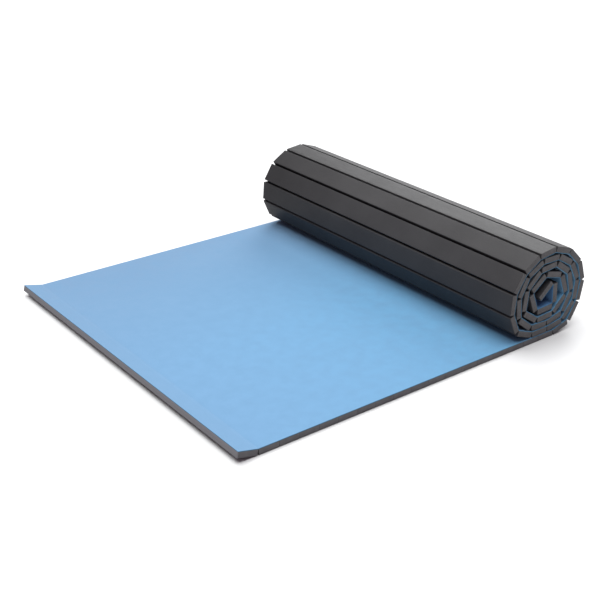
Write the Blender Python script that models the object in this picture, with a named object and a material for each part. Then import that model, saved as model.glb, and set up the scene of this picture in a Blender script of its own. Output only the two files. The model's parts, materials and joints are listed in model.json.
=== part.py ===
"""Roll-out foam mat: foam slats hinged side by side under one continuous carpet sheet.

Metres, +Z up. X runs along the mat from the free end to the roll, Y across its width.
The mat lies flat from its free end, then winds up and back over itself into a roll that rests
on the flat part. Every slat hinges where its foam meets the carpet.
"""
import math

import bmesh
import bpy
from mathutils import Matrix

# sizes
WIDTH = 1.829          # across the mat, 6 ft
PITCH = 0.095          # one slat along the mat
TOTAL = 0.030          # foam, bond line and carpet
CARPET = 0.0025        # carpet sheet
GAP = 0.0003           # bond line, and slit between two slats that lie flat
FOAM = TOTAL - CARPET - GAP
N_FLAT = 18            # slats that lie flat, the free end's included
N_WOUND = 41           # slats in the roll
END_LIFT = 14.0        # degrees by which the last flat slat turns up
CARPET_INSET = 0.0004  # carpet edge short of the foam's cut ends

# winding, from the flat part inwards
FIRST_FOLD = 15        # degrees, at the slit where the roll starts
FOLD_STEP = 0.25       # degrees, between two folds that are tried
CLEAR = 0.0006         # least air between a slat and the turn around it
OVAL_MIDDLE = (1.6515, 0.212)  # of the oval that the outermost turn keeps inside
OVAL_HALF = (0.2395, 0.230)    # its half width and half height
IN_OVAL = 13           # slats that keep inside it, after the first
LOOK_BACK = 26         # slats on which one slat may come to rest


def slat_outline(hinge, heading):
    """Corners of a wound slat, foam and carpet together, with its foam to the left."""
    dx, dy = math.cos(heading), math.sin(heading)
    low, high = -(CARPET + GAP / 2), FOAM + GAP / 2
    out = []
    for along, off in ((0, high), (0, low), (PITCH, low), (PITCH, high)):
        out.append((hinge[0] + dx * along - dy * off, hinge[1] + dy * along + dx * off))
    return out


def air(a, b):
    """Distance between two convex outlines along the best of their side normals."""
    best = -1.0
    for outline in (a, b):
        for i in range(4):
            x0, y0 = outline[i]
            x1, y1 = outline[(i + 1) % 4]
            length = math.hypot(x1 - x0, y1 - y0)
            nx, ny = (y0 - y1) / length, (x1 - x0) / length
            pa = [x * nx + y * ny for x, y in a]
            pb = [x * nx + y * ny for x, y in b]
            best = max(best, min(pb) - max(pa), min(pa) - max(pb))
    return best


def step(point, heading):
    return (point[0] + PITCH * math.cos(heading), point[1] + PITCH * math.sin(heading))


def clearance(point, outline):
    """Distance from a point to a convex outline, along the best of its side normals."""
    best = -1.0
    for i in range(4):
        x0, y0 = outline[i]
        x1, y1 = outline[(i + 1) % 4]
        length = math.hypot(x1 - x0, y1 - y0)
        best = max(best, ((point[0] - x0) * (y1 - y0) - (point[1] - y0) * (x1 - x0)) / length)
    return best


def in_oval(point):
    x = (point[0] - OVAL_MIDDLE[0]) / OVAL_HALF[0]
    y = (point[1] - OVAL_MIDDLE[1]) / OVAL_HALF[1]
    return x * x + y * y <= 1


def fits(outline, end, outlines, number):
    """Whether a slat clears those before it, with room left to fold at its far slit."""
    if 0 < number <= IN_OVAL and not in_oval(outline[0]):
        return False
    return all(air(outline, o) >= CLEAR and clearance(end, o) >= FOAM + CLEAR
               for o in outlines[-LOOK_BACK:-1])


def lay_out():
    """Every slat from the core to the free end: (hinge-line start, heading) in the XZ plane.

    Each wound slat folds by as little as it can, so that it lies against the turn around it.
    """
    level = FOAM + GAP / 2
    end_x = (N_FLAT - 1) * PITCH + PITCH * math.cos(math.radians(END_LIFT))
    slats = [((end_x - (N_FLAT - 1) * PITCH, level), math.pi - math.radians(END_LIFT))]
    slats += [((end_x - i * PITCH, level), math.pi) for i in range(N_FLAT - 2, -1, -1)]
    outlines = [slat_outline(*slat) for slat in slats]
    point, heading = (end_x, level), 0.0
    for number in range(N_WOUND):
        fold = 0.0 if number else FIRST_FOLD
        while fold < 180:
            a = heading + math.radians(fold)
            end = step(point, a)
            outline = slat_outline(end, a + math.pi)
            if fits(outline, end, outlines, number):
                break
            fold += FOLD_STEP
        slats.append((end, a + math.pi))
        outlines.append(outline)
        point, heading = end, a
    return slats[::-1]


def material(name, colour, roughness):
    mat = bpy.data.materials.new(name)
    mat.use_nodes = True
    shader = mat.node_tree.nodes["Principled BSDF"]
    shader.inputs["Base Color"].default_value = (*colour, 1.0)
    shader.inputs["Roughness"].default_value = roughness
    return mat


def put(obj, mat):
    for other in list(obj.users_collection):
        other.objects.unlink(obj)
    collection.objects.link(obj)
    obj.data.materials.append(mat)
    return obj


def slat(name, origin, heading, from_far_end, mat):
    """A foam slat whose origin is on its hinge axis, at its near or its far end."""
    middle = -PITCH / 2 if from_far_end else PITCH / 2
    shape = Matrix.Translation((middle, 0, -(FOAM + GAP) / 2))
    shape = shape @ Matrix.Diagonal((PITCH - GAP, WIDTH, FOAM, 1.0))
    bm = bmesh.new()
    bmesh.ops.create_cube(bm, size=1.0, matrix=shape)
    mesh = bpy.data.meshes.new(name)
    bm.to_mesh(mesh)
    bm.free()
    obj = bpy.data.objects.new(name, mesh)
    obj.location = (origin[0] - MIDDLE_X, 0, origin[1])
    obj.rotation_euler = (0, -heading, 0)
    return put(obj, mat)


def carpet_outline(slats, shift):
    """The slats' hinge line moved towards the roll's centre, with mitred corners."""
    points = [s[0] for s in slats]
    points.append(step(slats[-1][0], slats[-1][1]))
    out = []
    for i, p in enumerate(points):
        before = slats[max(i - 1, 0)][1]
        after = slats[min(i, len(slats) - 1)][1]
        middle = (before + after) / 2
        reach = shift / math.cos((before - after) / 2)
        out.append((p[0] + reach * math.sin(middle), p[1] - reach * math.cos(middle)))
    return out


def carpet(name, slats, mat):
    """One sheet over every slat, an extruded strip outline."""
    outer = carpet_outline(slats, GAP / 2)
    inner = carpet_outline(slats, GAP / 2 + CARPET)
    loop = outer + inner[::-1]
    curve = bpy.data.curves.new(name, "CURVE")
    curve.dimensions = "2D"
    curve.fill_mode = "BOTH"
    curve.extrude = WIDTH / 2 - CARPET_INSET
    spline = curve.splines.new("POLY")
    spline.points.add(len(loop) - 1)
    for point, (x, z) in zip(spline.points, loop):
        point.co = (x - MIDDLE_X, z, 0, 1)
    spline.use_cyclic_u = True
    obj = bpy.data.objects.new(name, curve)
    obj.rotation_euler = (math.pi / 2, 0, 0)
    return put(obj, mat)


for old in list(bpy.data.objects):
    bpy.data.objects.remove(old, do_unlink=True)

collection = bpy.data.collections.new("roll_out_mat")
bpy.context.scene.collection.children.link(collection)

foam_mat = material("foam", (0.075, 0.075, 0.080), 0.75)
carpet_mat = material("carpet", (0.28, 0.52, 0.79), 0.95)

layout = lay_out()
xs = []
for hinge_point, angle in layout:
    ux, uz = math.cos(angle), math.sin(angle)
    for reach, off in ((GAP / 2, FOAM + GAP / 2), (PITCH - GAP / 2, FOAM + GAP / 2),
                       (0, -GAP / 2 - CARPET), (PITCH, -GAP / 2 - CARPET)):
        xs.append(hinge_point[0] + ux * reach - uz * off)
MIDDLE_X = (min(xs) + max(xs)) / 2

count = len(layout)
for index, (hinge_point, angle) in enumerate(layout):
    number = count - index
    turned_angle = angle - math.pi
    wound_slat = index < N_WOUND
    # a wound slat turns about its outer end, a flat one about the end nearer the roll
    if wound_slat:
        origin = step(hinge_point, angle)
        slat(f"slat_{number:02d}", origin, turned_angle, False, foam_mat)
    else:
        slat(f"slat_{number:02d}", hinge_point, turned_angle, True, foam_mat)

carpet("carpet", layout, carpet_mat)
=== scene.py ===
"""Looks for the roll-out foam mat: cut foam slats under one light blue carpet, partly unrolled."""
import json
import math
import random

import bmesh
import bpy
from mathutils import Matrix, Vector
from mathutils.noise import noise

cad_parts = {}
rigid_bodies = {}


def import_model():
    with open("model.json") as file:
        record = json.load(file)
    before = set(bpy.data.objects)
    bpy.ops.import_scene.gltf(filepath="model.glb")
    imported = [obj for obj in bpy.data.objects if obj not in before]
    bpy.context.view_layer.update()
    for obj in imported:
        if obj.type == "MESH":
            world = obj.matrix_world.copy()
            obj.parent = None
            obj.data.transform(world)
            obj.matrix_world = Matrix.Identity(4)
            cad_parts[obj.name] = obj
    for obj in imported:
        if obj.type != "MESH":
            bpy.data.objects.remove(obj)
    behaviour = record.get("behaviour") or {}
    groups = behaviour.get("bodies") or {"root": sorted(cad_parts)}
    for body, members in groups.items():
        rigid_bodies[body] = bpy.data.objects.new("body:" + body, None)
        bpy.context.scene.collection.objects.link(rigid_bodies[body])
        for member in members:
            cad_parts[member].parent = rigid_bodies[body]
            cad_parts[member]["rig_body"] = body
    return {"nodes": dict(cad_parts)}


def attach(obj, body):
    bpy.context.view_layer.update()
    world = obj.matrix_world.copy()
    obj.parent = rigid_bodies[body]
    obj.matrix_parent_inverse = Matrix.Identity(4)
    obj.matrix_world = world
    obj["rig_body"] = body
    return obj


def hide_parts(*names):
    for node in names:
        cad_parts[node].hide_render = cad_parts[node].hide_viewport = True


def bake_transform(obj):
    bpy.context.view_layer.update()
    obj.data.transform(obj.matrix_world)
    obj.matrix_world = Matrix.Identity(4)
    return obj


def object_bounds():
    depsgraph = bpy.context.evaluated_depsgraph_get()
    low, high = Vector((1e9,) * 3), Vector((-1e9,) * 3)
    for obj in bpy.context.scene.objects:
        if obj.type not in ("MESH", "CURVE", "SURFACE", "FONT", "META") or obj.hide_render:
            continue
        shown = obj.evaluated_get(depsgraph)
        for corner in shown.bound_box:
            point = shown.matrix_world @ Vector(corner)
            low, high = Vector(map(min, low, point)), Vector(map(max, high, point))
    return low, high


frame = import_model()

CAD_LOW, CAD_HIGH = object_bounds()
random.seed(7)

# ---------------------------------------------------------------- sizes, in metres
GAP = 0.0003            # bond line and closed slits of the CAD model
CARPET = 0.0025         # carpet thickness
CARPET_INSET = 0.0004   # carpet edge short of the foam's ends
SKIN_R = 0.0014         # worn radius of the foam's lower edges
BOND_R = 0.0004         # radius of the foam's edges under the carpet
HALF_Y = CAD_HIGH.y     # half the mat's width
Y_STEPS = 36            # stations across the mat
STEP_ALONG = 0.012      # longest step along a slat's outline
NEAR_SLIT = (0.0, 0.0008, 0.0018, 0.0032, 0.005, 0.0075, 0.011, 0.016, 0.024, 0.034)

# foam: rows next to the mat's long edges, and how far each of the first rows is rounded in
FOAM_ENDS = (0.0, 0.00035, 0.0010, 0.0022)
FOAM_INSETS = {0: 0.0011, 1: 0.0004, 2: 0.0001}
BULGE = 0.0006          # most that one slat's underside is raised, drawn for each slat
CUT_PULL = 0.00035      # how far a cut side pulls in
UNDER_DIP = 0.0005      # uneven underside
UNDER_WAVE = 0.0042     # slow wave in the flat part's underside
FLAT_FOLD = 0.01        # radians, a smaller fold counts as flat
CLOSED_CUT = 0.15       # share of the pull and rounding where a slit is closed

# carpet: rows next to the long edges, how far each is rounded down, and its unevenness
CARPET_ENDS = (0.0, 0.0003, 0.0008, 0.0020)
CARPET_DROPS = {0: 0.0009, 1: 0.0003, 2: 0.00005}
TIP_DROP = 0.0010       # rounding of the carpet's two short ends
NEXT_DROP = 0.0003
WAVE_BROAD = 0.00016
WAVE_FINE = 0.00008
UNDERSIDE = 0.00004     # carpet underside above the foam

# degrees between faces that still shade smoothly
FOAM_SMOOTH = 38
CARPET_SMOOTH = 50

# camera, in metres from the free end's near corner, and degrees
LENS = 67.5
EYE = (0.007 - 1.916, -2.905, 2.318)
PITCH_DOWN, YAW = 25.44, 37.13

NODES = frame["nodes"]
SLATS = sorted(n for n in NODES if n.startswith("slat_"))
BODY = {n: NODES[n]["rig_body"] for n in NODES}


# ---------------------------------------------------------------- where every slat is
def corners(name):
    """The four corners of a slat's outline in the XZ plane."""
    found = {}
    for v in NODES[name].data.vertices:
        found[(round(v.co.x, 4), round(v.co.z, 4))] = Vector((v.co.x, 0, v.co.z))
    return list(found.values())


def read_slats():
    """For each slat from the free end: its two carpet-side corners and its carpet-side normal."""
    size = corners(SLATS[len(SLATS) // 4])
    xs = [c.x for c in size]
    zs = [c.z for c in size]
    length, foam = max(xs) - min(xs), max(zs) - min(zs)
    seat = len(SLATS) // 4
    start = Vector((min(xs), 0, max(zs)))
    rows = {}

    def place(index, near, forward):
        pts = sorted(corners(SLATS[index]), key=lambda p: (p - near).length)
        a = pts[0]
        b = min(pts[1:], key=lambda p: abs((p - a).length - length))
        low = min(pts[1:], key=lambda p: abs((p - a).length - foam))
        up = (a - low).normalized()
        rows[index] = (a, b, up) if forward else (b, a, up)
        return b

    near = place(seat, start, True)
    for index in range(seat + 1, len(SLATS)):
        near = place(index, near, True)
    near = rows[seat][0]
    for index in range(seat - 1, -1, -1):
        near = place(index, near, False)
    return [rows[i] for i in range(len(SLATS))], length, foam


ROWS, LENGTH, FOAM = read_slats()
PITCH = LENGTH + GAP
COUNT = len(SLATS)


def along(k):
    """Unit vector along slat k, away from the free end."""
    a, b, _ = ROWS[k]
    return (b - a).normalized()


def line_start(k):
    """Where slat k's stretch of the hinge line starts."""
    a, _, up = ROWS[k]
    return a - along(k) * GAP / 2 + up * GAP / 2


def fold(k):
    """Angle between slat k and slat k + 1."""
    return along(k).angle(along(k + 1), 0.0)


# ---------------------------------------------------------------- mesh helpers
def mesh_object(name, bm, mats, coords):
    """An object whose vertices also carry their place on the flat mat."""
    bm.normal_update()
    mesh = bpy.data.meshes.new(name)
    bm.to_mesh(mesh)
    bm.free()
    for mat in mats:
        mesh.materials.append(mat)
    attribute = mesh.attributes.new("mat_co", "FLOAT_VECTOR", "POINT")
    flat = []
    for c in coords:
        flat.extend(c)
    attribute.data.foreach_set("vector", flat)
    obj = bpy.data.objects.new(name, mesh)
    bpy.context.scene.collection.objects.link(obj)
    return obj


def smooth_by_angle(obj, degrees):
    mesh = obj.data
    mesh.polygons.foreach_set("use_smooth", [True] * len(mesh.polygons))
    mesh.set_sharp_from_angle(angle=math.radians(degrees))


# ---------------------------------------------------------------- foam slats
def slat_section():
    """Outline of a foam slat: (along, below the carpet) with rounded corners, and its sides."""
    out = []
    arcs = ((0.0, 0.0, BOND_R, 180), (LENGTH, 0.0, BOND_R, 90),
            (LENGTH, FOAM, SKIN_R, 0), (0.0, FOAM, SKIN_R, 270))
    for x, z, r, start in arcs:
        cx = x + r if x == 0.0 else x - r
        cz = z + r if z == 0.0 else z - r
        steps = 3 if r == BOND_R else 5
        for i in range(steps + 1):
            a = math.radians(start - 90 * i / steps)
            out.append((cx + r * math.cos(a), cz - r * math.sin(a)))
    filled = []
    for i, p in enumerate(out):
        q = out[(i + 1) % len(out)]
        filled.append(p)
        span = math.hypot(q[0] - p[0], q[1] - p[1])
        cuts = int(span / STEP_ALONG)
        for j in range(1, cuts):
            t = j / cuts
            filled.append((p[0] + (q[0] - p[0]) * t, p[1] + (q[1] - p[1]) * t))
    return filled


SECTION = slat_section()


def y_stations(half, ends):
    """Stations across the mat: close together at both edges, even in between."""
    inner = half - ends[-1]
    body = [-inner + 2 * inner * i / Y_STEPS for i in range(Y_STEPS + 1)]
    low = [-half + e for e in ends[:-1]]
    return low + body + [-y for y in reversed(low)]


def foam_slat(k, skin, cut):
    """Foam slat k, with its slit walls and lower face in skin and its end faces in cut."""
    a, _, up = ROWS[k]
    u = along(k)
    name = f"foam_{k + 1:02d}"
    bm = bmesh.new()
    coords = []
    ys = y_stations(HALF_Y, FOAM_ENDS)
    loops = []
    middle = (LENGTH / 2, FOAM / 2)
    bulge = random.uniform(0.0, BULGE)
    bends = [fold(j) for j in (k - 1, k) if 0 <= j < COUNT - 1]
    lies_flat = max(bends) < FLAT_FOLD
    cut_share = CLOSED_CUT if lies_flat else 1.0      # a closed slit hardly shows
    for i, y in enumerate(ys):
        edge = min(i, len(ys) - 1 - i)
        inset = FOAM_INSETS.get(edge, 0.0)
        loop = []
        for s, d in SECTION:
            ws = noise(Vector((y * 9 + k * 3.1, s * 40, d * 30)))
            wd = noise(Vector((y * 5 - k * 2.3, s * 25 + 7, 4)))
            ss, dd = s, d
            # cut sides pull in a little, and the lower face waves a little
            if d > BOND_R * 1.5:
                share = min(1.0, d / FOAM)
                pull = CUT_PULL * share * (1 + ws) * cut_share
                ss += pull if s < LENGTH / 2 else -pull
            if d > FOAM / 2:
                dd -= UNDER_DIP * (1 + wd) * (0.4 + 0.6 * abs(s / LENGTH - 0.5) * 2)
                dd -= bulge * 0.5
                if lies_flat:
                    place = Vector(((k * PITCH + s) * 8, y * 2.5, 2.6))
                    dd -= UNDER_WAVE * max(0.0, noise(place))
            ss += math.copysign(min(inset * cut_share, abs(middle[0] - ss)), middle[0] - ss)
            dd += math.copysign(min(inset, abs(middle[1] - dd)), middle[1] - dd)
            p = a + u * ss - up * dd
            loop.append(bm.verts.new((p.x, y, p.z)))
            coords.append((k * PITCH + ss, y, -dd))
        loops.append(loop)
    n = len(SECTION)
    for i in range(len(loops) - 1):
        for j in range(n):
            q = (loops[i][j], loops[i][(j + 1) % n], loops[i + 1][(j + 1) % n], loops[i + 1][j])
            face = bm.faces.new(q)
            d = (SECTION[j][1] + SECTION[(j + 1) % n][1]) / 2
            outer_end = k == 0 and SECTION[j][0] < SKIN_R and d < FOAM - SKIN_R * 0.5
            face.material_index = 1 if d < BOND_R or outer_end else 0
    for loop in (loops[0], loops[-1]):
        face = bm.faces.new(loop)
        face.material_index = 1
    bmesh.ops.recalc_face_normals(bm, faces=bm.faces)
    obj = mesh_object(name, bm, (skin, cut), coords)
    smooth_by_angle(obj, FOAM_SMOOTH)
    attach(obj, BODY[SLATS[k]])
    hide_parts(SLATS[k])
    return obj


# ---------------------------------------------------------------- carpet
def carpet_strip(name, first, last, mats):
    """The carpet from the middle of slat first to the middle of slat last, or to the mat's ends."""
    stations = []     # (slat, distance from the slat's start)
    for k in range(first, last + 1):
        low = 0.0 if k > first or k == 0 else PITCH / 2
        high = PITCH if k < last or k == COUNT - 1 else PITCH / 2
        values = set()
        for t in NEAR_SLIT + (PITCH / 2,):
            values.add(round(t, 6))
            values.add(round(PITCH - t, 6))
        kept = sorted(v for v in values if low - 1e-6 <= v <= high + 1e-6)
        if k > first:
            kept = kept[1:]
        stations.extend((k, v) for v in kept)
    top_off, bottom_off = GAP / 2 + CARPET, -GAP / 2 + UNDERSIDE
    half = HALF_Y - CARPET_INSET
    ys = y_stations(half, CARPET_ENDS)
    bm = bmesh.new()
    coords, top, bottom = [], [], []

    def point(k, v, off):
        """On slat k at v along it, off above the hinge line, kept clear of the creases."""
        lead = off * math.tan(fold(k - 1) / 2) if k > 0 else 0.0
        trail = off * math.tan(fold(k) / 2) if k < COUNT - 1 else 0.0
        mid = PITCH / 2
        if v < mid:
            w = lead + v * (mid - lead) / mid
        else:
            w = PITCH - trail - (PITCH - v) * (mid - trail) / mid
        return line_start(k) + along(k) * w + ROWS[k][2] * off

    total = COUNT * PITCH
    for k, v in stations:
        s = k * PITCH + v
        tip = min(s, total - s)
        tip_drop = TIP_DROP if tip < 1e-6 else NEXT_DROP if tip < 0.001 else 0.0
        upper, lower = [], []
        for i, y in enumerate(ys):
            edge = min(i, len(ys) - 1 - i)
            wave = WAVE_BROAD * noise(Vector((s * 14, y * 14, 1.7)))
            wave += WAVE_FINE * noise(Vector((s * 60, y * 60, 5.1)))
            off = top_off - CARPET_DROPS.get(edge, 0.0) - tip_drop + wave
            p = point(k, v, off)
            upper.append(bm.verts.new((p.x, y, p.z)))
            coords.append((s, y, 0.0))
        for i, y in enumerate(ys):
            p = point(k, v, bottom_off)
            lower.append(bm.verts.new((p.x, y, p.z)))
            coords.append((s, y, -CARPET))
        top.append(upper)
        bottom.append(lower)
    for i in range(len(top) - 1):
        for j in range(len(ys) - 1):
            bm.faces.new((top[i][j], top[i + 1][j], top[i + 1][j + 1], top[i][j + 1]))
            bm.faces.new((bottom[i][j], bottom[i][j + 1], bottom[i + 1][j + 1], bottom[i + 1][j]))
        for j in (0, -1):
            side = bm.faces.new((top[i][j], bottom[i][j], bottom[i + 1][j], top[i + 1][j]))
            side.material_index = 1
    for i in (0, -1):
        for j in range(len(ys) - 1):
            side = bm.faces.new((top[i][j], top[i][j + 1], bottom[i][j + 1], bottom[i][j]))
            side.material_index = 1
    bmesh.ops.recalc_face_normals(bm, faces=bm.faces)
    obj = mesh_object(name, bm, mats, coords)
    smooth_by_angle(obj, CARPET_SMOOTH)
    body_a, body_b = BODY[SLATS[first]], BODY[SLATS[last]]
    if body_a == body_b:
        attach(obj, body_a)
    else:
        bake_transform(obj)
    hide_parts("carpet")
    return obj


# ---------------------------------------------------------------- materials
def new_material(name, roughness, specular):
    """A material with its tree, its shader and the vector of the place on the flat mat."""
    mat = bpy.data.materials.new(name)
    mat.use_nodes = True
    tree = mat.node_tree
    shader = tree.nodes["Principled BSDF"]
    shader.inputs["Roughness"].default_value = roughness
    shader.inputs["Specular IOR Level"].default_value = specular
    place = tree.nodes.new("ShaderNodeAttribute")
    place.attribute_name = "mat_co"
    return mat, tree, shader, place.outputs["Vector"]


def noise_node(tree, vector, scale, detail=3.0, rough=0.55, stretch=None):
    if stretch is not None:
        mapping = tree.nodes.new("ShaderNodeMapping")
        mapping.inputs["Scale"].default_value = stretch
        tree.links.new(vector, mapping.inputs["Vector"])
        vector = mapping.outputs["Vector"]
    node = tree.nodes.new("ShaderNodeTexNoise")
    node.inputs["Scale"].default_value = scale
    node.inputs["Detail"].default_value = detail
    node.inputs["Roughness"].default_value = rough
    tree.links.new(vector, node.inputs["Vector"])
    return node.outputs["Fac"]


def cells_node(tree, vector, scale):
    node = tree.nodes.new("ShaderNodeTexVoronoi")
    node.inputs["Scale"].default_value = scale
    tree.links.new(vector, node.inputs["Vector"])
    return node.outputs["Distance"]


def ramp(tree, value, low, high, out_low=0.0, out_high=1.0):
    node = tree.nodes.new("ShaderNodeMapRange")
    node.inputs["From Min"].default_value = low
    node.inputs["From Max"].default_value = high
    node.inputs["To Min"].default_value = out_low
    node.inputs["To Max"].default_value = out_high
    tree.links.new(value, node.inputs["Value"])
    return node.outputs["Result"]


def mix_colour(tree, factor, a, b):
    node = tree.nodes.new("ShaderNodeMix")
    node.data_type = "RGBA"
    tree.links.new(factor, node.inputs["Factor"])
    for socket, value in ((node.inputs["A"], a), (node.inputs["B"], b)):
        if isinstance(value, tuple):
            socket.default_value = (*value, 1.0)
        else:
            tree.links.new(value, socket)
    return node.outputs["Result"]


def bump(tree, height, distance, strength=1.0, normal=None):
    node = tree.nodes.new("ShaderNodeBump")
    node.inputs["Distance"].default_value = distance
    node.inputs["Strength"].default_value = strength
    tree.links.new(height, node.inputs["Height"])
    if normal is not None:
        tree.links.new(normal, node.inputs["Normal"])
    return node.outputs["Normal"]


def carpet_material():
    mat, tree, shader, at = new_material("carpet_blue", 0.95, 0.15)
    broad = noise_node(tree, at, 2.2, 2.0)
    blotch = noise_node(tree, at, 17.0, 3.0)
    tuft = noise_node(tree, at, 420.0, 4.0, 0.7)
    split = tree.nodes.new("ShaderNodeSeparateXYZ")
    tree.links.new(at, split.inputs["Vector"])
    # painted light and shade: the colour drifts along the mat on its near side, standing in for how
    # the light falls, and its far side is painted duller as shade
    near = mix_colour(tree, ramp(tree, split.outputs["X"], 0.0, 1.5),
                      (0.102, 0.214, 0.352), (0.083, 0.242, 0.400))
    far_painted_shade = mix_colour(tree, ramp(tree, broad, 0.3, 0.7),
                     (0.091, 0.172, 0.280), (0.101, 0.184, 0.292))
    base = mix_colour(tree, ramp(tree, split.outputs["Y"], -0.2, 0.9), near, far_painted_shade)
    # painted shade: a little darker on the turned-up slat, to offset the extra key light it catches
    base = mix_colour(tree, ramp(tree, split.outputs["X"], 0.115, 0.075, 0.0, 0.3),
                      base, (0.077, 0.160, 0.264))
    base = mix_colour(tree, ramp(tree, blotch, 0.35, 0.7, 0.0, 0.45),
                      base, (0.080, 0.184, 0.305))
    base = mix_colour(tree, ramp(tree, tuft, 0.3, 0.75, 0.0, 0.35),
                      base, (0.066, 0.143, 0.245))
    fleck = cells_node(tree, at, 46.0)
    base = mix_colour(tree, ramp(tree, fleck, 0.05, 0.015, 0.0, 0.5),
                      base, (0.17, 0.30, 0.42))
    # painted shade: dark in the roll's core
    base = mix_colour(tree, ramp(tree, split.outputs["X"], 4.9, 5.3, 0.0, 0.75),
                      base, (0.020, 0.075, 0.190))
    tree.links.new(base, shader.inputs["Base Color"])
    shader.inputs["Sheen Weight"].default_value = 0.25
    shader.inputs["Sheen Roughness"].default_value = 0.6
    shader.inputs["Sheen Tint"].default_value = (0.75, 0.88, 1.0, 1.0)
    fibres = noise_node(tree, at, 900.0, 5.0, 0.75)
    soft = bump(tree, blotch, 0.0012, 0.35)
    tree.links.new(bump(tree, fibres, 0.0007, 0.8, soft), shader.inputs["Normal"])
    return mat


def carpet_edge_material():
    mat, tree, shader, at = new_material("carpet_edge", 0.95, 0.1)
    strands = noise_node(tree, at, 700.0, 4.0, 0.7)
    base = mix_colour(tree, ramp(tree, strands, 0.3, 0.7),
                      (0.030, 0.100, 0.165), (0.055, 0.150, 0.235))
    tree.links.new(base, shader.inputs["Base Color"])
    tree.links.new(bump(tree, strands, 0.0006, 0.7), shader.inputs["Normal"])
    return mat


def skin_material():
    mat, tree, shader, at = new_material("foam_skin", 0.55, 0.12)
    broad = noise_node(tree, at, 5.0, 3.0)
    grain = noise_node(tree, at, 260.0, 4.0, 0.65)
    drawn = noise_node(tree, at, 60.0, 3.0, 0.6, (6.0, 0.35, 1.0))
    base = mix_colour(tree, ramp(tree, broad, 0.3, 0.7),
                      (0.031, 0.030, 0.031), (0.040, 0.039, 0.040))
    base = mix_colour(tree, ramp(tree, grain, 0.35, 0.75, 0.0, 0.5),
                      base, (0.050, 0.049, 0.050))
    split = tree.nodes.new("ShaderNodeSeparateXYZ")
    tree.links.new(at, split.inputs["Vector"])
    # painted shade: darker towards the far side, where the roll's top catches less sheen
    base = mix_colour(tree, ramp(tree, split.outputs["Y"], 0.1, 0.9, 0.0, 0.5),
                      base, (0.012, 0.0115, 0.012))
    tree.links.new(base, shader.inputs["Base Color"])
    tree.links.new(ramp(tree, drawn, 0.3, 0.7, 0.48, 0.60), shader.inputs["Roughness"])
    cells = cells_node(tree, at, 700.0)
    first = bump(tree, drawn, 0.0005, 0.35)
    tree.links.new(bump(tree, cells, 0.0002, 0.35, first), shader.inputs["Normal"])
    return mat


def cut_material():
    mat, tree, shader, at = new_material("foam_cut", 0.85, 0.3)
    broad = noise_node(tree, at, 22.0, 3.0)
    grain = noise_node(tree, at, 500.0, 4.0, 0.7)
    cells = cells_node(tree, at, 900.0)
    base = mix_colour(tree, ramp(tree, broad, 0.3, 0.7),
                      (0.055, 0.0545, 0.056), (0.076, 0.075, 0.077))
    base = mix_colour(tree, ramp(tree, cells, 0.35, 0.8, 0.0, 0.5),
                      base, (0.140, 0.139, 0.140))
    base = mix_colour(tree, ramp(tree, grain, 0.55, 0.8, 0.0, 0.6),
                      base, (0.035, 0.034, 0.034))
    split = tree.nodes.new("ShaderNodeSeparateXYZ")
    tree.links.new(at, split.inputs["Vector"])
    # painted light: lighter along the flat part, and lightest on the free end's face, as if more
    # light fell there
    flat = mix_colour(tree, ramp(tree, broad, 0.3, 0.7),
                      (0.088, 0.087, 0.092), (0.112, 0.111, 0.117))
    base = mix_colour(tree, ramp(tree, split.outputs["X"], 1.9, 1.5, 0.0, 0.75), base, flat)
    base = mix_colour(tree, ramp(tree, split.outputs["X"], 0.004, 0.001),
                      base, (0.130, 0.128, 0.136))
    tree.links.new(base, shader.inputs["Base Color"])
    tree.links.new(bump(tree, cells, 0.0005, 0.6), shader.inputs["Normal"])
    return mat


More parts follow.
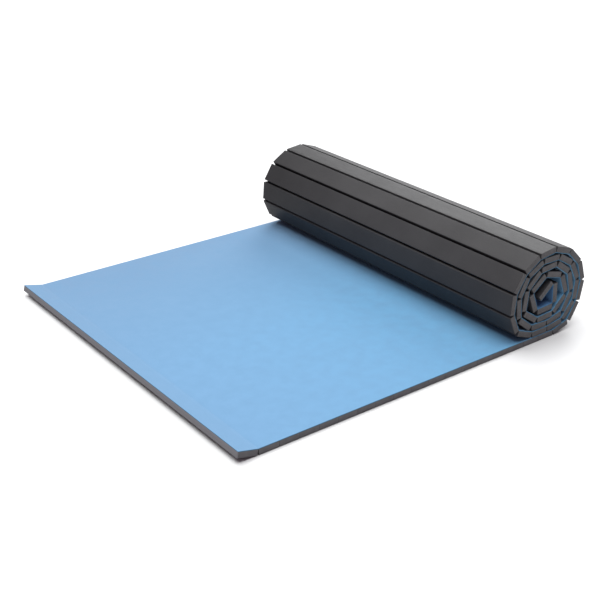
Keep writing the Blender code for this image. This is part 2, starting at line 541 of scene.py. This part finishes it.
# ---------------------------------------------------------------- camera, floor and light
def stage():
    cam = bpy.data.cameras.new("camera")
    cam.lens = LENS
    cam.sensor_width = 36.0
    eye = bpy.data.objects.new("camera", cam)
    bpy.context.scene.collection.objects.link(eye)
    eye.location = (CAD_LOW.x + EYE[0], CAD_LOW.y + EYE[1], EYE[2])
    down, yaw = math.radians(PITCH_DOWN), math.radians(YAW)
    ahead = Vector((math.sin(yaw) * math.cos(down), math.cos(yaw) * math.cos(down),
                    -math.sin(down)))
    eye.rotation_euler = ahead.to_track_quat("-Z", "Y").to_euler()
    bpy.context.scene.camera = eye

    floor_mat = bpy.data.materials.new("studio_floor")
    floor_mat.use_nodes = True
    shader = floor_mat.node_tree.nodes["Principled BSDF"]
    shader.inputs["Base Color"].default_value = (0.57, 0.57, 0.57, 1.0)
    shader.inputs["Roughness"].default_value = 0.9
    shader.inputs["Specular IOR Level"].default_value = 0.1
    bm = bmesh.new()
    bmesh.ops.create_grid(bm, x_segments=1, y_segments=1, size=60.0)
    mesh = bpy.data.meshes.new("studio_floor")
    bm.to_mesh(mesh)
    bm.free()
    mesh.materials.append(floor_mat)
    floor = bpy.data.objects.new("studio_floor", mesh)
    floor.location = (0, 0, -0.0004)
    bpy.context.scene.collection.objects.link(floor)

    world = bpy.data.worlds.new("studio")
    world.use_nodes = True
    background = world.node_tree.nodes["Background"]
    background.inputs["Color"].default_value = (1.0, 0.80, 0.96, 1.0)
    background.inputs["Strength"].default_value = 0.30
    bpy.context.scene.world = world

    def lamp(kind, name, place, aim):
        data = bpy.data.lights.new(name, kind)
        obj = bpy.data.objects.new(name, data)
        obj.location = place
        obj.rotation_euler = (Vector(aim) - Vector(place)).to_track_quat("-Z", "Y").to_euler()
        bpy.context.scene.collection.objects.link(obj)
        return data

    key = lamp("SUN", "key", (3.1, 2.5, 2.3), (0.0, 0.0, 0.0))
    key.energy, key.angle, key.color = 2.2, math.radians(34), (0.97, 1.0, 0.99)
    top = lamp("SUN", "top", (-0.5, 0.4, 4.5), (0.0, 0.0, 0.0))
    top.energy, top.angle, top.color = 5.3, math.radians(66), (0.97, 1.0, 0.99)


# ---------------------------------------------------------------- build
stage()
carpet_mats = (carpet_material(), carpet_edge_material())
skin_mat, cut_mat = skin_material(), cut_material()
for k in range(COUNT):
    foam_slat(k, skin_mat, cut_mat)

# one strip for each stretch of slats on one body, and one across each joint
k = 0
while k < COUNT - 1:
    if BODY[SLATS[k]] != BODY[SLATS[k + 1]]:
        carpet_strip(f"carpet_{k + 1:02d}", k, k + 1, carpet_mats)
        k += 1
    else:
        last = k
        while last < COUNT - 1 and BODY[SLATS[last + 1]] == BODY[SLATS[k]]:
            last += 1
        carpet_strip(f"carpet_{k + 1:02d}", k, last, carpet_mats)
        k = last

bpy.context.scene.view_settings.view_transform = "Standard"
